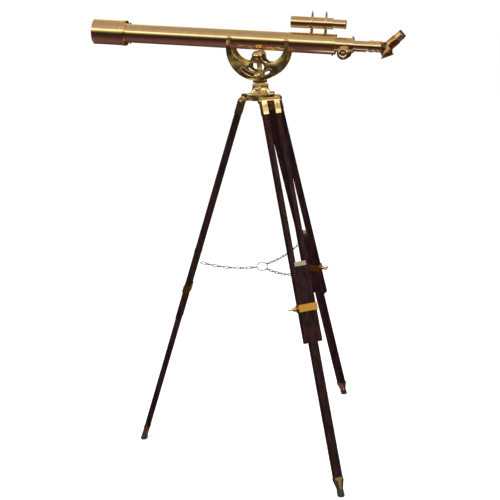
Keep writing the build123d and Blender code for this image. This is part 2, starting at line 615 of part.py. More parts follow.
with BuildPart() as eyepiece_lenses:
    for distance in (20.0, 58.0):
        with BuildSketch(eye_side):
            with BuildLine():
                Polyline((distance, 0), (distance, 11.4), (distance + 2, 11.4))
                dome(distance + 2, 11.4, distance + 4.5)
                Line((distance + 4.5, 0), (distance, 0))
            make_face()
        revolve(axis=eye_axis)
write(eyepiece_lenses.part, "eyepiece_lenses")

# --- Finder ---------------------------------------------------------------------------------
with BuildPart() as finder_tube:
    with BuildSketch(finder_side):
        band(FINDER_FRONT, FINDER_STEP, FINDER_R - 1.8, FINDER_R)
        band(FINDER_STEP - 4, FINDER_STEP, FINDER_BODY_R - 1.8, FINDER_R)
        band(FINDER_STEP, FINDER_REAR, FINDER_BODY_R - 1.8, FINDER_BODY_R)
        band(FINDER_REAR - 3, FINDER_REAR, FINDER_EYE_R - 2, FINDER_BODY_R)
        band(FINDER_REAR, FINDER_END, FINDER_EYE_R - 2, FINDER_EYE_R)
        band(FINDER_END - 5, FINDER_END, FINDER_EYE_R - 6, FINDER_EYE_R + 0.8)
    revolve(axis=finder_axis)
write(finder_tube.part, "finder_tube")

with BuildPart() as finder_lenses:
    with BuildSketch(finder_side):
        band(FINDER_FRONT + 9, FINDER_FRONT + 13, 0, FINDER_R - 1.8)
        band(FINDER_END - 9, FINDER_END - 6, 0, FINDER_EYE_R - 2)
    revolve(axis=finder_axis)
write(finder_lenses.part, "finder_lenses")

BRACKET_R, STALK_W, FOOT_W, FOOT_TOP = 22.5, 11.0, 24.0, 39.0
with BuildPart() as finder_brackets:
    for distance in BRACKETS:
        with BuildSketch(across_tube(distance - BRACKET_T / 2)):
            with Locations((0, FINDER_OVER_TUBE)):
                Circle(BRACKET_R)
            with Locations((0, (FOOT_TOP + FINDER_OVER_TUBE - FINDER_BODY_R) / 2 - 2)):
                Rectangle(STALK_W, FINDER_OVER_TUBE - FINDER_BODY_R - FOOT_TOP + 4)
            with Locations((0, (FOOT_TOP + 28) / 2)):
                Rectangle(FOOT_W, FOOT_TOP - 28)
            with Locations((0, FINDER_OVER_TUBE)):
                Circle(FINDER_BODY_R, mode=Mode.SUBTRACT)
            Circle(SLEEVE_R, mode=Mode.SUBTRACT)
        extrude(amount=BRACKET_T)
write(finder_brackets.part, "finder_brackets")

RING_SCREWS = ((0, 9.0, 8.5), (120, 1.0, 2.5), (240, 1.0, 2.5))  # turn, bare length, head
TUBE_SCREWS = (
    (HOOD_REAR + 14, TUBE_R),
    (HOOD_REAR + 14, -TUBE_R),
    (SLEEVE_REAR - 10, -SLEEVE_R),
    (FOCUSER_REAR - 4, FOCUSER_R + 1),
)
with BuildPart() as small_screws:
    for distance in BRACKETS:
        for turn, bare, head in RING_SCREWS:
            way = up.rotate(Axis((0, 0, 0), along), turn)
            start = finder_side.origin + along * distance + way * BRACKET_R
            with BuildSketch(Plane(origin=start, x_dir=way, z_dir=along)):
                band(0, bare, 0, 2.0)
                band(bare, bare + head, 0, 4.2)
            revolve(axis=Axis(start, way))
    for distance, height in TUBE_SCREWS:
        way = up if height > 0 else -up
        start = over_axle + along * distance + up * height
        with BuildSketch(Plane(origin=start, x_dir=way, z_dir=along)):
            band(0, 4, 0, 2.8)
        revolve(axis=Axis(start, way))
write(small_screws.part, "small_screws")

# --- Legs, each drawn once along +X and turned into place -----------------------------------
WEDGE_IN = 24.0  # the stop wedge's nearer side, clear of the slider's guide
with BuildPart() as leg_rails:
    for way in (-1, 1):
        with BuildSketch(across_leg(RAIL_END)):
            with Locations((0, way * RAIL_Y)):
                Rectangle(RAIL_T, RAIL_W)
        extrude(amount=RAIL_END - LUG_R - 2)
    with BuildSketch(lengthwise(WEDGE_IN)):
        outline((-RAIL_T / 2, -678), (-RAIL_T / 2 - 7, -694), (-RAIL_T / 2, -710))
    extrude(amount=WEDGE_IN - LEG_SIDE)
    with BuildSketch(lengthwise(-RAIL_Y + RAIL_W / 2 + 1)):
        with Locations((0, -CLAMP_AT)):
            Circle(BOLT_R)
    extrude(amount=RAIL_W + 2, mode=Mode.SUBTRACT)

with BuildPart() as leg_ferrules:
    for way in (-1, 1):
        with BuildSketch(across_leg(FERRULE_L)):
            with Locations((0, way * RAIL_Y)):
                Rectangle(RAIL_T + 2 * FERRULE_WALL, RAIL_W + 2 * FERRULE_WALL)
        extrude(amount=FERRULE_L)
        with BuildSketch(lengthwise(way * RAIL_Y - RAIL_W / 2 - FERRULE_WALL)):
            Circle(LUG_R)
        extrude(amount=-RAIL_W - 2 * FERRULE_WALL)
        with BuildSketch(across_leg(FERRULE_L + 1)):
            with Locations((0, way * RAIL_Y)):
                Rectangle(RAIL_T, RAIL_W)
        extrude(amount=FERRULE_L + 1 - LUG_R - 2, mode=Mode.SUBTRACT)
    with BuildSketch(lengthwise(-2 * LEG_SIDE)):
        Circle(BOLT_R)
    extrude(amount=-4 * LEG_SIDE, mode=Mode.SUBTRACT)

SHOE_AT = LEG_L - TIP_L - SHOE_L
with BuildPart() as leg_slider:
    with BuildSketch(across_leg(SHOE_AT + 6)):
        Rectangle(SLIDER_T, SLIDER_W)
    extrude(amount=SHOE_AT + 6 - SLIDER_TOP)
    fillet(leg_slider.edges().filter_by(lambda edge: edge.length > 300), 1.5)

GUIDE_H, GUIDE_WALL, GUIDE_W = 16.0, 1.5, 44.0
with BuildPart() as slider_guide:
    with BuildSketch(across_leg(SLIDER_TOP)):
        Rectangle(SLIDER_T, SLIDER_W)
    extrude(amount=3)
    for way in (-1, 1):
        with BuildSketch(across_leg(SLIDER_TOP + GUIDE_H - 3)):
            with Locations((way * (RAIL_T / 2 + GAP + GUIDE_WALL / 2), 0)):
                Rectangle(GUIDE_WALL, GUIDE_W)
        extrude(amount=GUIDE_H)
        with BuildSketch(across_leg(SLIDER_TOP)):
            with Locations((way * (RAIL_T / 2 - 0.5), 0)):
                Rectangle(3, SLIDER_W)
        extrude(amount=3)

with BuildPart() as clamp_band:
    with BuildSketch(across_leg(CLAMP_AT + CLAMP_H / 2)):
        Rectangle(RAIL_T + 2 * CLAMP_WALL, 2 * (LEG_SIDE + CLAMP_WALL))
        Rectangle(RAIL_T, 2 * LEG_SIDE, mode=Mode.SUBTRACT)
    extrude(amount=CLAMP_H)
    with BuildSketch(lengthwise(-LEG_SIDE - CLAMP_WALL - 4)):
        with Locations((0, -CLAMP_AT)):
            Circle(9)
    extrude(amount=-5)
    with BuildSketch(lengthwise(-LEG_SIDE - CLAMP_WALL - 5)):
        with Locations((0, -CLAMP_AT)):
            Circle(BOLT_R)
    extrude(amount=-CLAMP_WALL - 6, mode=Mode.SUBTRACT)

KNOB_START = LEG_SIDE + CLAMP_WALL + 4 + GAP
clamp_axis = Axis(hinge - leg_up * CLAMP_AT, (0, -1, 0))
clamp_across = Plane(origin=hinge - leg_up * CLAMP_AT, x_dir=(0, -1, 0), z_dir=leg_up)
with BuildPart() as clamp_knob:
    with BuildSketch(clamp_across):
        with BuildLine():
            Polyline((SLIDER_W / 2 + GAP, 0), (SLIDER_W / 2 + GAP, BOLT_R - RUN))
            Polyline((SLIDER_W / 2 + GAP, BOLT_R - RUN), (KNOB_START, BOLT_R - RUN))
            Polyline((KNOB_START, BOLT_R - RUN), (KNOB_START, 7), (KNOB_START + 2, 7))
            ThreePointArc((KNOB_START + 2, 7), (KNOB_START + 7, 8), (KNOB_START + 12, 4))
            Polyline((KNOB_START + 12, 4), (KNOB_START + 16, 4), (KNOB_START + 16, 0))
            Line((KNOB_START + 16, 0), (SLIDER_W / 2 + GAP, 0))
        make_face()
    revolve(axis=clamp_axis)
    with BuildSketch(clamp_across.offset(-2)):
        with BuildLine():
            Polyline((KNOB_START + 14, -4), (KNOB_START + 14, 4), (KNOB_START + 19, 10))
            ThreePointArc((KNOB_START + 19, 10), (KNOB_START + 27, 7), (KNOB_START + 22, 0))
            ThreePointArc((KNOB_START + 22, 0), (KNOB_START + 27, -7), (KNOB_START + 19, -10))
            Line((KNOB_START + 19, -10), (KNOB_START + 14, -4))
        make_face()
    extrude(amount=4)

with BuildPart() as foot_ferrule:
    with BuildSketch(across_leg(LEG_L - TIP_L)):
        Circle(11)
    with BuildSketch(across_leg(SHOE_AT + 10)):
        Rectangle(SLIDER_T + 2, SLIDER_W + 2)
    loft()
    with BuildSketch(across_leg(SHOE_AT + 10)):
        Rectangle(SLIDER_T + 2, SLIDER_W + 2)
    extrude(amount=10)
    with BuildSketch(across_leg(SHOE_AT + 6)):
        Rectangle(SLIDER_T, SLIDER_W)
    extrude(amount=7, mode=Mode.SUBTRACT)

with BuildPart() as rubber_tip:
    with BuildSketch(across_leg(LEG_L + 8)):
        Circle(12)
    extrude(amount=TIP_L + 8)
    split(bisect_by=Plane.XY, keep=Keep.TOP)

for name, azimuth in LEGS.items():
    write(leg_rails.part.rotate(Axis.Z, azimuth), f"{name}_leg_rails")
    write(leg_ferrules.part.rotate(Axis.Z, azimuth), f"{name}_leg_ferrules")
    write(leg_slider.part.rotate(Axis.Z, azimuth), f"{name}_leg_slider")
    write(slider_guide.part.rotate(Axis.Z, azimuth), f"{name}_slider_guide")
    write(clamp_band.part.rotate(Axis.Z, azimuth), f"{name}_clamp_band")
    write(clamp_knob.part.rotate(Axis.Z, azimuth), f"{name}_clamp_knob")
    write(foot_ferrule.part.rotate(Axis.Z, azimuth), f"{name}_foot_ferrule")
    write(rubber_tip.part.rotate(Axis.Z, azimuth), f"{name}_rubber_tip")

# --- Spreader ring and chains ---------------------------------------------------------------
RING_LEAN, VIEW_TURN = radians(31), radians(13)
ring_right = Vector(cos(VIEW_TURN), sin(VIEW_TURN), 0)
ring_normal = Vector(
    sin(VIEW_TURN) * sin(RING_LEAN), -cos(VIEW_TURN) * sin(RING_LEAN), cos(RING_LEAN)
)
ring_plane = Plane(origin=RING_CENTRE, x_dir=ring_right, z_dir=ring_normal)
with BuildPart() as spreader_ring:
    with BuildSketch(Plane(origin=RING_CENTRE, x_dir=ring_right, z_dir=ring_normal.cross(ring_right))):
        with Locations((RING_R, 0)):
            Circle(RING_WIRE)
    revolve(axis=Axis(RING_CENTRE, ring_normal))
write(spreader_ring.part, "spreader_ring")

half_link = LINK_PITCH / 2 + LINK_WIRE + 0.25  # to the wire's middle at a link's end
bow = LINK_W / 2 - LINK_WIRE
with BuildPart() as link:
    with BuildLine() as link_path:
        Line((-half_link + bow, bow), (half_link - bow, bow))
        ThreePointArc((half_link - bow, bow), (half_link, 0), (half_link - bow, -bow))
        Line((half_link - bow, -bow), (-half_link + bow, -bow))
        ThreePointArc((-half_link + bow, -bow), (-half_link, 0), (-half_link + bow, bow))
    with BuildSketch(Plane(origin=(0, bow, 0), z_dir=(1, 0, 0))):
        Circle(LINK_WIRE)
    sweep(path=link_path.wire())

EYE_R, EYE_SHANK, EYE_WIRE = 5.0, 8.0, 1.2
with BuildPart() as chain_eye:
    eye_centre = hinge - leg_up * EYE_AT - leg_out * (RAIL_T / 2 + EYE_SHANK) + Vector(0, RAIL_Y, 0)
    with BuildSketch(Plane(origin=eye_centre, x_dir=leg_out, z_dir=(0, 1, 0))):
        with Locations((EYE_R, 0)):
            Circle(EYE_WIRE)
    revolve(axis=Axis(eye_centre, (0, 1, 0)))
    with BuildSketch(Plane(origin=eye_centre + leg_out * EYE_R, x_dir=(0, 1, 0), z_dir=leg_out)):
        Circle(EYE_WIRE)
    extrude(amount=EYE_SHANK - EYE_R)


def chain_from(start, end):
    """Where the links lie along a shallow hanging curve: an even count, flat and upright by turns."""
    span = (end - start).length
    length = span + 8 * CHAIN_SAG**2 / (3 * span)
    count = 2 * ceil(length / LINK_PITCH / 2)
    points = []
    for step in range(count + 1):
        share = step / count
        drop = 4 * CHAIN_SAG * share * (1 - share)
        points.append(start + (end - start) * share - Vector(0, 0, drop))
    places = []
    for step, (near, far) in enumerate(zip(points, points[1:])):
        level = (far - near).cross(Vector(0, 0, 1))
        normal = level if step % 2 else level.cross(far - near)
        places.append(Plane(origin=(near + far) / 2, x_dir=far - near, z_dir=normal).location)
    return places


for name, azimuth in LEGS.items():
    eye = eye_centre.rotate(Axis.Z, azimuth)
    hook = radians(RING_HOOKS[name])
    reach = RING_R - RING_WIRE
    end = ring_plane.from_local_coords(Vector(reach * cos(hook), reach * sin(hook), 0))
    start = eye + (end - eye).normalized() * (EYE_R - EYE_WIRE)
    with BuildPart() as spreader_chain:
        with Locations(*chain_from(start, end)):
            add(link.part)
        add(chain_eye.part.rotate(Axis.Z, azimuth))
    write(spreader_chain.part, f"{name}_spreader_chain")
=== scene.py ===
"""The look of a brass telescope on a wooden tripod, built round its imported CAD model."""

import json
from math import cos, pi, radians, sin, sqrt, tau

import bmesh
import bpy
from mathutils import Matrix, Vector

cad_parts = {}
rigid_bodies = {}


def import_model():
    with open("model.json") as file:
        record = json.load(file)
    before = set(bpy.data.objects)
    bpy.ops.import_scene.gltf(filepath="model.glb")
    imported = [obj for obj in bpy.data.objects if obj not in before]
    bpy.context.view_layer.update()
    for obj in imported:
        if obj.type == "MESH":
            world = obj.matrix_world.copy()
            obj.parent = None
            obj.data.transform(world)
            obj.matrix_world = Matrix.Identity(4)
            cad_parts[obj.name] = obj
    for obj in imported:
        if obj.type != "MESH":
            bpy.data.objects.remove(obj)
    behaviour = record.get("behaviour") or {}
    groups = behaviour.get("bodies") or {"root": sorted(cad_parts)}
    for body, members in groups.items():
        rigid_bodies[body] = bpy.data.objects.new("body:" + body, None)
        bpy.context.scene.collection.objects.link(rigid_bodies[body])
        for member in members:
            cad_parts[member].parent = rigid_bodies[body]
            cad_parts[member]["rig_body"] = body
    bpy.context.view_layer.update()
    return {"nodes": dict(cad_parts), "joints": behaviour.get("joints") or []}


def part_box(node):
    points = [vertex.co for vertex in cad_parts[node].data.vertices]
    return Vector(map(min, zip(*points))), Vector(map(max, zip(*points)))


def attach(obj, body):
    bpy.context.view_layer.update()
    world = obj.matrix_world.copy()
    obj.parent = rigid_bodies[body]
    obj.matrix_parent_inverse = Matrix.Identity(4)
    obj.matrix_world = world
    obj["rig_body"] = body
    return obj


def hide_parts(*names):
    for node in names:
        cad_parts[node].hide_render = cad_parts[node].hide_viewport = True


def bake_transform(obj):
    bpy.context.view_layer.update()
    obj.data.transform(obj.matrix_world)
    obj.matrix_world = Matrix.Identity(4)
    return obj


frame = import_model()

MM = 0.001
LEGS = ("left", "front", "rear")

# Distances in mm that the frame doesn't give
TUBE_OVER_AXLE = 51
BEND_AT = 442.5  # along the tube, where the eyepiece's axis leaves it
FINDER_OVER_TUBE = 68.5
BRACKETS = (181, 229)  # along the tube
BRACKET_R = 22.5
TRUNNION_AT, TRUNNION_RISE = 99.7, 5
joints = {joint["name"]: joint for joint in frame["joints"]}

# --- Places, read from the frame ------------------------------------------------------------
along = Vector(joints["drawtube_slide"]["axis"]).normalized()
across = Vector((0, 1, 0))
up = along.cross(across)
axle = Vector(joints["altitude"]["pos_m"])
over_axle = axle + up * TUBE_OVER_AXLE * MM
pinion = Vector(joints["focus_pinion"]["pos_m"])
eye_way = Vector(joints["eyepiece_slide"]["axis"]).normalized()
bend = over_axle + along * BEND_AT * MM
finder = over_axle + up * FINDER_OVER_TUBE * MM
azimuth_clamp = Vector(joints["azimuth_clamp"]["pos_m"])
altitude_clamp = Vector(joints["altitude_clamp"]["pos_m"])


# --- Materials ------------------------------------------------------------------------------
def new_material(name, colour, metallic=0.0, roughness=0.4, **inputs):
    made = bpy.data.materials.new(name)
    made.use_nodes = True
    shader = made.node_tree.nodes["Principled BSDF"]
    shader.inputs["Base Color"].default_value = (*colour, 1)
    shader.inputs["Metallic"].default_value = metallic
    shader.inputs["Roughness"].default_value = roughness
    for socket, value in inputs.items():
        shader.inputs[socket.replace("_", " ")].default_value = value
    return made


def mottled(made, low, high, scale, stretch=(1, 1, 1), detail=3.0):
    """Varies a material's colour between two, by noise in the object's own space."""
    nodes, links = made.node_tree.nodes, made.node_tree.links
    place = nodes.new("ShaderNodeTexCoord")
    stretched = nodes.new("ShaderNodeMapping")
    stretched.inputs["Scale"].default_value = stretch
    noise = nodes.new("ShaderNodeTexNoise")
    noise.inputs["Scale"].default_value = scale
    noise.inputs["Detail"].default_value = detail
    ramp = nodes.new("ShaderNodeValToRGB")
    ramp.color_ramp.elements[0].position = 0.35
    ramp.color_ramp.elements[0].color = (*low, 1)
    ramp.color_ramp.elements[1].position = 0.65
    ramp.color_ramp.elements[1].color = (*high, 1)
    links.new(place.outputs["Object"], stretched.inputs["Vector"])
    links.new(stretched.outputs["Vector"], noise.inputs["Vector"])
    links.new(noise.outputs["Fac"], ramp.inputs["Fac"])
    links.new(ramp.outputs["Color"], nodes["Principled BSDF"].inputs["Base Color"])
    return made


def cast(made, scale, depth):
    """Gives a material the slow waves of hand-polished castings."""
    nodes, links = made.node_tree.nodes, made.node_tree.links
    place = nodes.new("ShaderNodeTexCoord")
    noise = nodes.new("ShaderNodeTexNoise")
    noise.inputs["Scale"].default_value = scale
    noise.inputs["Detail"].default_value = 1.0
    bump = nodes.new("ShaderNodeBump")
    bump.inputs["Strength"].default_value = 0.6
    bump.inputs["Distance"].default_value = depth
    links.new(place.outputs["Object"], noise.inputs["Vector"])
    links.new(noise.outputs["Fac"], bump.inputs["Height"])
    links.new(bump.outputs["Normal"], nodes["Principled BSDF"].inputs["Normal"])
    return made


brass = mottled(
    new_material("brass", (0.90, 0.70, 0.40), metallic=1.0, roughness=0.11),
    (0.87, 0.66, 0.36), (0.93, 0.74, 0.44), 40,
)
cast_brass = cast(
    new_material("cast brass", (0.90, 0.68, 0.34), metallic=1.0, roughness=0.16), 18, 0.016
)
wood = mottled(
    new_material("dark wood", (0.02, 0.006, 0.006), roughness=0.42,
                 Specular_IOR_Level=0.12),
    (0.004, 0.0015, 0.003), (0.022, 0.005, 0.005), 9, stretch=(9, 9, 0.6), detail=6,
)
steel = new_material("chain steel", (0.045, 0.045, 0.055), metallic=1.0, roughness=0.35)
dark_brass = cast(
    new_material("darkened brass", (0.62, 0.33, 0.15), metallic=1.0, roughness=0.2), 40, 0.008
)
dark_steel = new_material("dark steel", (0.07, 0.06, 0.055), metallic=0.9, roughness=0.3)
bright_metal = new_material("bright metal", (0.42, 0.38, 0.33), metallic=1.0, roughness=0.35)
band_brass = new_material("deep brass", (0.56, 0.30, 0.06), metallic=1.0, roughness=0.3)
rubber = new_material("black rubber", (0.018, 0.018, 0.018), roughness=0.6)
black = new_material("matt black", (0.012, 0.012, 0.012), roughness=0.75)
glass = new_material("lens glass", (0.93, 0.97, 1.0), roughness=0.02, Transmission_Weight=1.0,
                     IOR=1.5)


# --- Making pieces --------------------------------------------------------------------------
def finish_mesh(mesh, paint, sharp=38):
    """Smooth shading, broken at the edges that turn by more than an angle."""
    work = bmesh.new()
    work.from_mesh(mesh)
    for face in work.faces:
        face.smooth = True
    for edge in work.edges:
        edge.smooth = edge.calc_face_angle(pi) < radians(sharp)
    work.to_mesh(mesh)
    work.free()
    mesh.materials.clear()
    mesh.materials.append(paint)


def add_object(name, mesh, paint, sharp=38):
    finish_mesh(mesh, paint, sharp)
    made = bpy.data.objects.new(name, mesh)
    bpy.context.scene.collection.objects.link(made)
    return made


def soften(made, width):
    """Rounds a piece's hard edges, so that they catch the light."""
    bevel = made.modifiers.new("soft edges", "BEVEL")
    bevel.width = width * MM
    bevel.segments = 2
    bevel.limit_method = "ANGLE"
    bevel.angle_limit = radians(40)
    bevel.harden_normals = True


def bare_mesh(node):
    """A copy of a CAD node's mesh, with its doubled vertices joined."""
    source = frame["nodes"][node].data
    mesh = bpy.data.meshes.new(node)
    mesh.from_pydata([v.co for v in source.vertices], [], [p.vertices for p in source.polygons])
    work = bmesh.new()
    work.from_mesh(mesh)
    bmesh.ops.remove_doubles(work, verts=work.verts, dist=0.01 * MM)
    bmesh.ops.dissolve_limit(work, angle_limit=radians(0.5), verts=work.verts, edges=work.edges)
    work.to_mesh(mesh)
    work.free()
    return mesh


def skin(node, paint, edge=0.0):
    """A piece with the CAD node's own shape, its edges softened."""
    made = add_object(f"{node}.skin", bare_mesh(node), paint)
    if edge:
        soften(made, edge)
    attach(made, frame["nodes"][node]["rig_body"])
    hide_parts(node)
    return made


def rounded(points, size):
    """A closed profile with each of its real corners replaced by a small curve."""
    smooth = []
    for index, point in enumerate(points):
        here = Vector(point)
        back = Vector(points[index - 1]) - here
        ahead = Vector(points[(index + 1) % len(points)]) - here
        if here.y < 1e-6 or back.length < 1e-6 or ahead.length < 1e-6:
            smooth.append(here)
            continue
        if back.angle(-ahead) < radians(20):
            smooth.append(here)
            continue
        cut = min(size, 0.4 * back.length, 0.4 * ahead.length)
        start = here + back.normalized() * cut
        end = here + ahead.normalized() * cut
        for share in (0, 0.33, 0.67, 1):
            smooth.append(start.lerp(here, share).lerp(here.lerp(end, share), share))
    return smooth


def turned(name, origin, axis, profile, paint, body, nodes=(), edge=0.5, steps=96):
    """A turned piece: a closed profile of (distance, radius) in mm, spun round an axis."""
    axis = axis.normalized()
    sideways = axis.orthogonal().normalized()
    other = axis.cross(sideways)
    loop = rounded(profile, edge)
    work = bmesh.new()
    rings = []
    for distance, radius in loop:
        middle = origin + axis * distance * MM
        ring = []
        for step in range(steps):
            turn = tau * step / steps
            out = sideways * cos(turn) + other * sin(turn)
            ring.append(work.verts.new(middle + out * radius * MM))
        rings.append(ring)
    for index, ring in enumerate(rings):
        before = rings[index - 1]
        for step in range(steps):
            after = (step + 1) % steps
            work.faces.new((before[step], before[after], ring[after], ring[step]))
    bmesh.ops.remove_doubles(work, verts=work.verts, dist=0.001 * MM)
    bmesh.ops.dissolve_degenerate(work, edges=work.edges, dist=0.001 * MM)
    bmesh.ops.recalc_face_normals(work, faces=work.faces)
    mesh = bpy.data.meshes.new(name)
    work.to_mesh(mesh)
    work.free()
    made = add_object(name, mesh, paint)
    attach(made, body)
    if nodes:
        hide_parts(*nodes)
    return made


def on_tube(name, profile, paint, body="tube", nodes=(), **more):
    return turned(name, over_axle, along, profile, paint, body, nodes, **more)


# --- Tube -----------------------------------------------------------------------------------
def make_tube():
    on_tube("main_tube.turned", [(-498, 31.5), (-498, 33), (150, 33), (150, 31.5)], brass,
            nodes=["main_tube"])
    on_tube("tail_sleeve.turned",
            [(105, 33), (105, 35), (267, 35), (267, 25.1), (262, 25.1), (262, 33)], brass,
            nodes=["tail_sleeve"], edge=0.8)
    on_tube("dew_shield.turned",
            [(-605, 42.2), (-604.6, 44), (-603, 44.6), (-600, 44.6), (-599, 44), (-498, 44),
             (-497, 45), (-486.5, 45), (-485, 43.8), (-485, 33.1), (-497, 33.1), (-497, 42)],
            brass, nodes=["dew_shield"], edge=0.7)
    skin("objective_cell", brass, 0.5)
    skin("objective_lenses", glass)
    skin("tube_baffles", black)


def make_finder():
    turned("finder_tube.turned", finder, along,
           [(109, 18.7), (109, 20.5), (112, 20.5), (112.6, 20), (166, 20), (167, 20.5),
            (168, 20.3), (168, 19.5), (253, 19.5), (253, 15), (293, 15), (293.6, 15.8),
            (298, 15.8), (298, 9), (293, 9), (293, 13), (250, 13), (250, 17.7), (164, 17.7),
            (164, 18.7)],
           brass, "tube", ["finder_tube"], edge=0.5)
    skin("finder_lenses", glass)
    skin("finder_brackets", brass, 0.6)
    bead = [(-3.6, 22.4), (-3.2, 23.0), (-1.6, 23.6), (0, 23.8), (1.6, 23.6), (3.2, 23.0),
            (3.6, 22.4)]
    for number, distance in enumerate(BRACKETS):
        turned(f"bracket_bead_{number}", finder + along * distance * MM, along, bead, brass,
               "tube", edge=0.2)


def make_screws():
    """The finder's six ring screws and the tube's four set screws."""
    head = [(0, 0), (0, 3.4), (3, 3.6), (10, 3.0), (14, 2.4), (17.4, 1.4), (17.4, 0)]
    low = [(0, 0), (0, 2), (1, 2), (1, 4.2), (3, 4.2), (3.5, 3.4), (3.5, 0)]
    slotted = [(0, 0), (0, 2.8), (3.2, 2.8), (4, 2), (4, 0)]
    for number, distance in enumerate(BRACKETS):
        for turn, shape in ((0, head), (120, low), (240, low)):
            way = Matrix.Rotation(radians(turn), 3, along) @ up
            start = finder + along * distance * MM + way * BRACKET_R * MM
            turned(f"ring_screw_{number}_{turn}", start, way, shape, dark_brass,
                               "tube", edge=0.4, steps=24)
    for number, (distance, height) in enumerate(((-471, 33), (-471, -33), (257, -35), (325, 26))):
        way = up if height > 0 else -up
        start = over_axle + along * distance * MM + up * height * MM
        turned(f"set_screw_{number}", start, way, slotted, dark_steel, "tube",
                           edge=0.4, steps=24)
    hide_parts("small_screws")


# --- Focuser, diagonal and eyepiece ---------------------------------------------------------
def make_focuser():
    skin("focuser_body", brass, 0.6)
    on_tube("drawtube.turned", [(225, 15.2), (225, 17), (392, 17), (392, 15.2)], brass, "draw",
            ["drawtube"])
    skin("focus_rack", dark_brass)
    on_tube("drawtube_collar.turned",
            [(380, 17.05), (380, 20), (384, 20), (384.6, 18.5), (388, 18.5), (388.4, 22),
             (391, 22), (391.4, 18.5), (407, 18.5), (407.4, 20), (411, 20), (411.4, 18.5),
             (418, 18.5), (418.4, 20), (422, 20), (422, 15.9), (392, 15.9), (392, 17.05)],
            brass, "draw", ["drawtube_collar"], edge=0.5)
    skin("focus_pinion", brass)
    knob = [(15.2, 3.05), (15.2, 6), (26.5, 6), (26.5, 20.5), (28, 22), (32.5, 22), (34, 20.5),
            (34, 16), (35.5, 15.8), (36, 15.2), (36.8, 15.2), (37.4, 15.8), (42, 15.5), (44, 13),
            (42.6, 11.4), (42, 9), (42, 5.6), (43, 5), (44, 4), (44, 0), (41, 0), (41, 3.05)]
    for way, place in ((-1, "front"), (1, "back")):
        made = turned(f"focus_knob_{place}", pinion, across * way, knob, brass, "focus_shaft",
                      edge=0.5)
        if way < 0:
            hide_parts("focus_knobs")


def make_diagonal():
    skin("diagonal_housing", dark_brass, 0.6)
    skin("erecting_prism", glass)
    skin("prism_cover", dark_steel, 0.5)
    turned("eyepiece_barrel.turned", bend, eye_way,
           [(17, 11.5), (17, 12.9), (42.4, 12.9), (42.4, 15.2), (43.2, 16), (45.4, 16),
            (46, 15.1), (47, 15.1), (47.6, 16), (54.4, 16), (55, 15.1), (56, 15.1), (56.6, 16),
            (63.5, 16), (65, 15), (65, 11.5)],
           brass, "eyepiece", ["eyepiece_barrel"], edge=0.4)
    turned("eyecup.turned", bend, eye_way,
           [(65, 8), (65, 15), (69.6, 14.8), (71, 13.6), (71, 10.4), (68.4, 8)],
           rubber, "eyepiece", ["eyecup"], edge=0.6)
    skin("eyepiece_lenses", glass)


# --- Mount ----------------------------------------------------------------------------------
def make_mount():
    floor_up = Vector((0, 0, 1))
    skin("tripod_head", cast_brass, 1.0)
    skin("hinge_bolts", brass, 0.5)
    flare = [(1325 + 23 * share, 28 + 8 * (1 - share) ** 2.2) for share in (0, 0.2, 0.4, 0.7, 1)]
    turned("column.turned", Vector(), floor_up,
           [(1322, 17.05), (1322, 36), *flare, (1349, 28.9), (1352, 28.9), (1352.8, 26.3),
            (1357, 26), (1361, 24), (1361, 17.05)],
           brass, "tripod", ["column"], edge=0.6)
    turned("column_boss", azimuth_clamp, -across, [(22, 0), (22, 9), (37, 9), (37, 0)], brass,
           "tripod", edge=1.0, steps=48)
    knob = [(17.3, 0), (17.3, 3.9), (37.4, 3.9), (37.4, 7), (40.5, 7), (42, 4.5), (45, 4.5),
            *ball(45, 4.5, 9)]
    turned("azimuth_clamp_knob.turned", azimuth_clamp, -across, knob, brass, "azimuth_knob",
           ["azimuth_clamp_knob"], edge=0.5, steps=64)
    skin("pillar", cast_brass, 1.0)
    dome = [(46 + 10 * sin(turn), 11 * cos(turn)) for turn in (0.2, 0.5, 0.8, 1.1, 1.35, pi / 2)]
    cap = [(0, 0), (0, 5.9), (41.3, 5.9), (41.3, 13), (44.3, 13), (45.6, 11), *dome]
    for way, place in ((-1, "front"), (1, "back")):
        made = turned(f"axle_cap_{place}", axle, across * way, cap, brass, "pillar", edge=0.5,
                      steps=64)
        if way < 0:
            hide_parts("altitude_axle")
    clamp = [(-50.8, 0), (-50.8, 8), (-42.8, 8), (-42.8, 3.9), (42.8, 3.9), (42.8, 10),
             (45.8, 10), (47.8, 5), (51.8, 5), *ball(51.8, 5, 9)]
    turned("altitude_clamp_knob.turned", altitude_clamp, -across, clamp, brass, "altitude_knob",
           ["altitude_clamp_knob"], edge=0.5, steps=64)
    skin("cradle_front_plate", cast_brass, 2.0)
    skin("cradle_back_plate", cast_brass, 2.0)
    screw = [(33.1, 0), (33.1, 3), (41, 3), (41, 7.4), (42.4, 8), (45, 7.6), (47.4, 6.2),
             (49.2, 3.8), (50, 0)]
    made = []
    for end in (-1, 1):
        for way in (-1, 1):
            start = over_axle + along * end * TRUNNION_AT * MM + up * TRUNNION_RISE * MM
            made.append(turned(f"trunnion_screw_{end + 1}_{way + 1}", start, across * way, screw,
                               brass, "tube", edge=0.5, steps=48))
    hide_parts("trunnion_screws")


def ball(start, neck, radius):
    """A turned profile's points round a ball that begins at a narrower neck."""
    middle = start + sqrt(radius**2 - neck**2)
    first = pi - (pi / 2 - sqrt(1 - (neck / radius) ** 2))
    turns = [first * (1 - step / 9) for step in range(1, 10)]
    return [(middle + radius * cos(turn), radius * sin(turn)) for turn in turns]


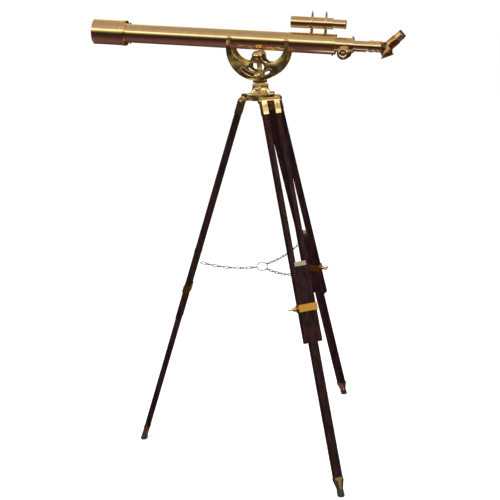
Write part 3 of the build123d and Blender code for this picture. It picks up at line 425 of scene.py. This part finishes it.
# --- Legs -----------------------------------------------------------------------------------
def make_leg(name):
    skin(f"{name}_leg_rails", wood, 1.2)
    skin(f"{name}_leg_ferrules", cast_brass, 1.0)
    skin(f"{name}_leg_slider", wood, 0.0)
    skin(f"{name}_slider_guide", bright_metal, 0.4)
    skin(f"{name}_clamp_band", band_brass, 0.8)
    skin(f"{name}_clamp_knob", brass, 0.4)
    skin(f"{name}_foot_ferrule", brass, 0.8)
    skin(f"{name}_rubber_tip", rubber, 0.8)


# --- Chains ---------------------------------------------------------------------------------
LINK_OVERLAP = 5.6  # what a link's length has over the links' spacing, in mm
LINK_STEPS, WIRE_SIDES = 28, 8  # divisions round a link and round its wire


def islands(mesh):
    """The separate solids of a mesh, each as the list of its vertices' places."""
    work = bmesh.new()
    work.from_mesh(mesh)
    left, found = set(work.verts), []
    while left:
        seed = [left.pop()]
        group = []
        while seed:
            vertex = seed.pop()
            group.append(vertex.co.copy())
            for edge in vertex.link_edges:
                other = edge.other_vert(vertex)
                if other in left:
                    left.remove(other)
                    seed.append(other)
        found.append(group)
    work.free()
    return found


def link_into(work, middle, way, roll, length, width=10.5, wire=1.3, twist=0.4):
    """One slightly twisted oval link of round wire, its long side along the chain."""
    level = way.cross(Vector((0, 0, 1))).normalized()
    stand = level.cross(way).normalized()
    half, bow = (length / 2 - wire), (width / 2 - wire)
    path = []
    for step in range(LINK_STEPS):
        turn = tau * step / LINK_STEPS
        reach = half * cos(turn)
        out = bow * sin(turn) * (1.0 + 0.18 * cos(turn) ** 2)
        spin = roll + twist * reach / half
        path.append(way * reach + (level * cos(spin) + stand * sin(spin)) * out)
    rings = []
    for step, point in enumerate(path):
        tangent = (path[(step + 1) % LINK_STEPS] - path[step - 1]).normalized()
        first = tangent.cross(way + level * 0.3).normalized()
        second = tangent.cross(first)
        ring = []
        for part in range(WIRE_SIDES):
            turn = tau * part / WIRE_SIDES
            out = (first * cos(turn) + second * sin(turn)) * wire
            ring.append(work.verts.new(middle + (point + out) * MM))
        rings.append(ring)
    for step in range(LINK_STEPS):
        near, far = rings[step - 1], rings[step]
        shift = min(range(WIRE_SIDES), key=lambda turn: (near[0].co - far[turn].co).length)
        for part in range(WIRE_SIDES):
            after = (part + 1) % WIRE_SIDES
            work.faces.new((near[part], near[after], far[(after + shift) % WIRE_SIDES],
                            far[(part + shift) % WIRE_SIDES]))


def make_chain(name):
    """A long link over each two of the CAD chain's, laid along the chain's path from the ring to
    its leg.
    """
    node = f"{name}_spreader_chain"
    solids = islands(bare_mesh(node))
    middles = [sum(group, Vector()) / len(group) for group in solids]
    ring_low, ring_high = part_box("spreader_ring")
    ring = (ring_low + ring_high) / 2
    order = sorted(range(len(middles)), key=lambda index: (middles[index] - ring).length)
    eye = order[-1]
    small = [middles[index] for index in order[:-1]]
    places = [(near + far) / 2 for near, far in zip(small[::2], small[1::2])]
    spacing = (places[1] - places[0]).length / MM
    work = bmesh.new()
    for index, place in enumerate(places):
        before = places[max(index - 1, 0)]
        after = places[min(index + 1, len(places) - 1)]
        way = (after - before).normalized()
        link_into(work, place, way, radians(90 if index % 2 else 0), spacing + LINK_OVERLAP)
    bmesh.ops.recalc_face_normals(work, faces=work.faces)
    mesh = bpy.data.meshes.new(node)
    work.to_mesh(mesh)
    work.free()
    made = add_object(f"{node}.links", mesh, steel, sharp=80)
    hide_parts(node)
    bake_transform(made)
    make_chain_eye(name, node, solids[eye])


def make_chain_eye(name, node, solid):
    """The screw eye at a chain's far end, which stays with its leg."""
    hook = bmesh.new()
    hook.from_mesh(bare_mesh(node))
    kept = {tuple(round(value, 7) for value in place) for place in solid}
    doomed = [v for v in hook.verts if tuple(round(value, 7) for value in v.co) not in kept]
    bmesh.ops.delete(hook, geom=doomed, context="VERTS")
    mesh = bpy.data.meshes.new(f"{name}_chain_eye")
    hook.to_mesh(mesh)
    hook.free()
    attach(add_object(f"{name}_chain_eye", mesh, steel), f"{name}_leg")


# --- Stage, lights and camera ---------------------------------------------------------------
# What polished metal reflects, by the sine of its height: the colour of each band
STUDIO_BANDS = [
    (-1.0, (1.10, 0.92, 0.96)),
    (-0.96, (0.17, 0.09, 0.11)),
    (-0.55, (0.06, 0.024, 0.027)),
    (-0.12, (0.025, 0.017, 0.012)),
    (0.05, (0.10, 0.10, 0.06)),
    (0.17, (0.42, 0.41, 0.23)),
    (0.30, (1.0, 0.92, 0.62)),
    (0.37, (1.85, 1.75, 1.55)),
    (0.43, (1.85, 1.75, 1.55)),
    (0.55, (0.62, 0.49, 0.37)),
    (1.0, (0.40, 0.34, 0.28)),
]


def make_world():
    """White to the eye, and soft bands to what is polished."""
    world = bpy.data.worlds.new("studio")
    bpy.context.scene.world = world
    world.use_nodes = True
    nodes, links = world.node_tree.nodes, world.node_tree.links
    nodes.clear()
    place = nodes.new("ShaderNodeTexCoord")
    parts = nodes.new("ShaderNodeSeparateXYZ")
    links.new(place.outputs["Generated"], parts.inputs["Vector"])
    height = nodes.new("ShaderNodeMapRange")
    height.inputs["From Min"].default_value = -1
    height.inputs["From Max"].default_value = 1
    links.new(parts.outputs["Z"], height.inputs["Value"])
    ramp = nodes.new("ShaderNodeValToRGB")
    links.new(height.outputs["Result"], ramp.inputs["Fac"])
    elements = ramp.color_ramp.elements
    while len(elements) < len(STUDIO_BANDS):
        elements.new(0.5)
    for element, (level, colour) in zip(elements, STUDIO_BANDS):
        element.position = (level + 1) / 2
        element.color = (*colour, 1)
    studio = nodes.new("ShaderNodeBackground")
    links.new(ramp.outputs["Color"], studio.inputs["Color"])
    plain = nodes.new("ShaderNodeBackground")
    plain.inputs["Color"].default_value = (1, 1, 1, 1)
    plain.inputs["Strength"].default_value = 1.05
    ray = nodes.new("ShaderNodeLightPath")
    mix = nodes.new("ShaderNodeMixShader")
    links.new(ray.outputs["Is Glossy Ray"], mix.inputs["Fac"])
    links.new(plain.outputs["Background"], mix.inputs[1])
    links.new(studio.outputs["Background"], mix.inputs[2])
    out = nodes.new("ShaderNodeOutputWorld")
    links.new(mix.outputs["Shader"], out.inputs["Surface"])


def make_floor():
    mesh = bpy.data.meshes.new("floor")
    half = 30  # metres
    mesh.from_pydata([(-half, -half, 0), (half, -half, 0), (half, half, 0), (-half, half, 0)], [],
                     [(0, 1, 2, 3)])
    floor = add_object("floor", mesh, new_material("pale floor", (0.98, 0.98, 0.98), roughness=0.9))
    floor.location.z = -0.0005
    floor.visible_glossy = False


def add_light(name, place, aim, size, power, colour=(1, 1, 1)):
    data = bpy.data.lights.new(name, "AREA")
    data.size = size
    data.energy = power
    data.color = colour
    lamp = bpy.data.objects.new(name, data)
    lamp.location = place
    lamp.rotation_euler = (Vector(aim) - Vector(place)).to_track_quat("-Z", "Y").to_euler()
    lamp.visible_glossy = False
    bpy.context.scene.collection.objects.link(lamp)


CAMERA_TURN, CAMERA_PITCH, CAMERA_ROLL = radians(13), radians(14.41), radians(-2.71)
CAMERA_LENS = 72.0


def make_camera():
    right = Vector((cos(CAMERA_TURN), sin(CAMERA_TURN), 0))
    ahead = Vector((-sin(CAMERA_TURN), cos(CAMERA_TURN), 0))
    place = right * -0.0635 - ahead * 3.550 + Vector((0, 0, 1.666))
    look = ahead * cos(CAMERA_PITCH) - Vector((0, 0, sin(CAMERA_PITCH)))
    top = ahead * sin(CAMERA_PITCH) + Vector((0, 0, cos(CAMERA_PITCH)))
    side = right * cos(CAMERA_ROLL) + top * sin(CAMERA_ROLL)
    head = top * cos(CAMERA_ROLL) - right * sin(CAMERA_ROLL)
    data = bpy.data.cameras.new("camera")
    data.lens = CAMERA_LENS
    data.sensor_width = 36
    camera = bpy.data.objects.new("camera", data)
    turned_to = Matrix((side, head, -look)).transposed().to_4x4()
    camera.matrix_world = Matrix.Translation(place) @ turned_to
    bpy.context.scene.collection.objects.link(camera)
    bpy.context.scene.camera = camera


make_tube()
make_finder()
make_screws()
make_focuser()
make_diagonal()
make_mount()
for leg in LEGS:
    make_leg(leg)
    make_chain(leg)
skin("spreader_ring", steel)
make_world()
make_floor()
add_light("key", (-2.0, -3.0, 4.0), (0, 0, 1.0), 2.5, 190)
add_light("fill", (3.0, -1.5, 2.5), (0, 0, 0.8), 2.0, 40)
make_camera()
bpy.context.scene.view_settings.view_transform = "Standard"
